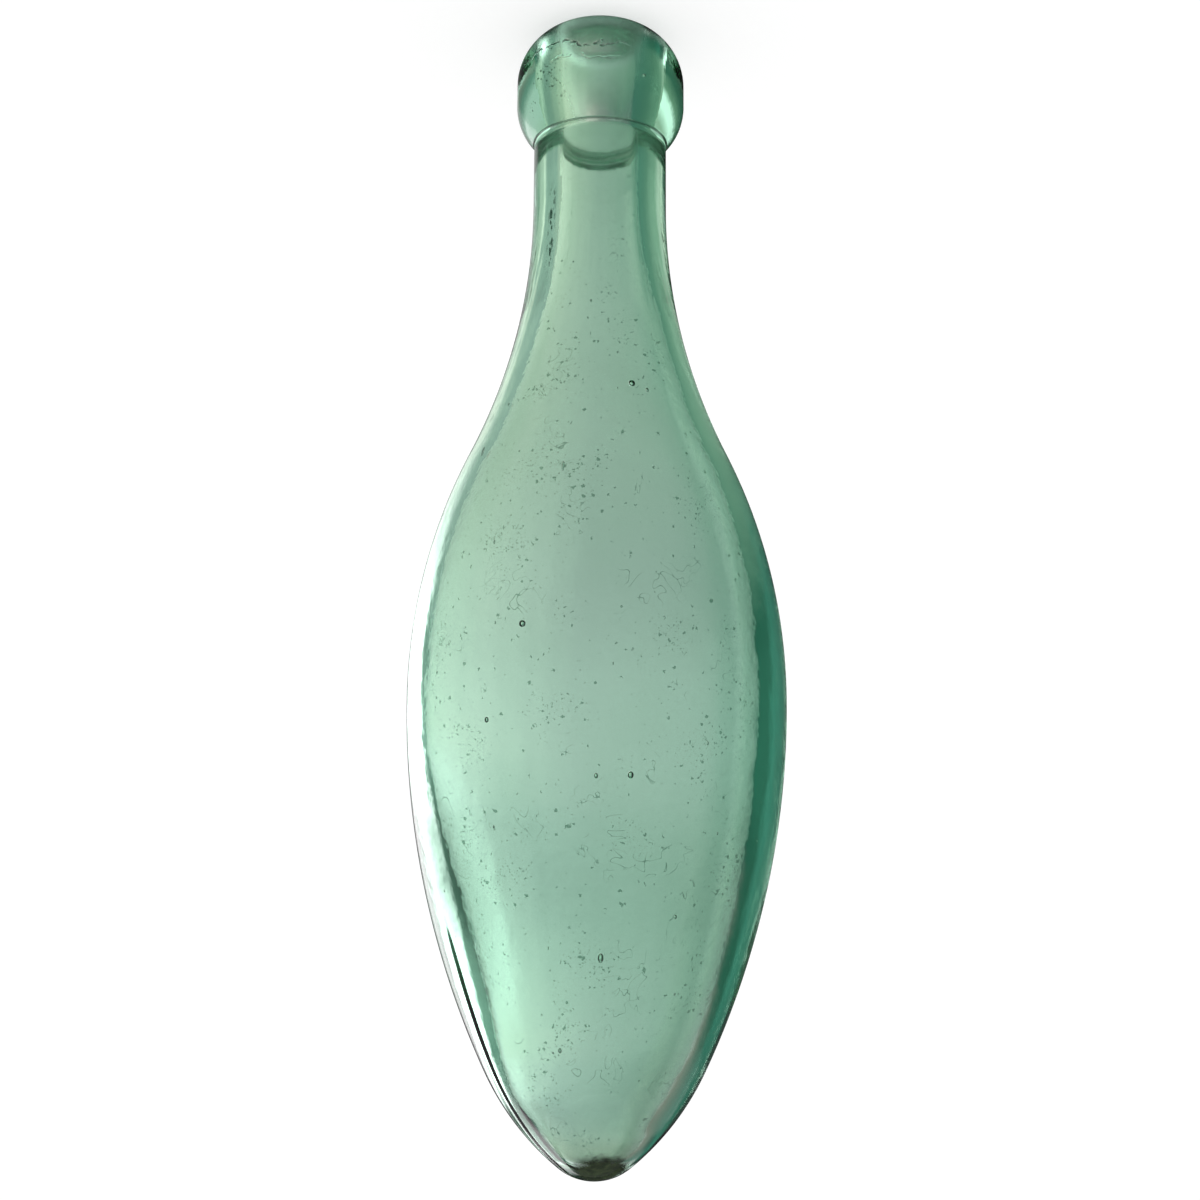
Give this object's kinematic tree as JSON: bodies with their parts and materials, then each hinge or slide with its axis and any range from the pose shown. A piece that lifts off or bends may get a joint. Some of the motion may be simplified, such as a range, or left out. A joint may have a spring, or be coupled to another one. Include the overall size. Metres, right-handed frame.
{
  "type": "hamilton bottle",
  "caption": "Pointed-end bottle of thick aqua glass with a swept shoulder, a straight neck and a heavy rounded lip. It stands on its lip with the point up.",
  "frame": {"origin": "centre of the mouth, on the flat of the lip that the bottle stands on", "axes": "+Z along the bottle's axis, from the mouth to the tip of the point. +X and +Y are across it and alike"},
  "size_m": [0.0724, 0.0724, 0.2241],
  "materials": {
    "aqua_glass": "thick clear aqua glass with seeds, flecks and light wear"
  },
  "bodies": {
    "root": {"bottle": "aqua_glass"}
  },
  "joints": []
}
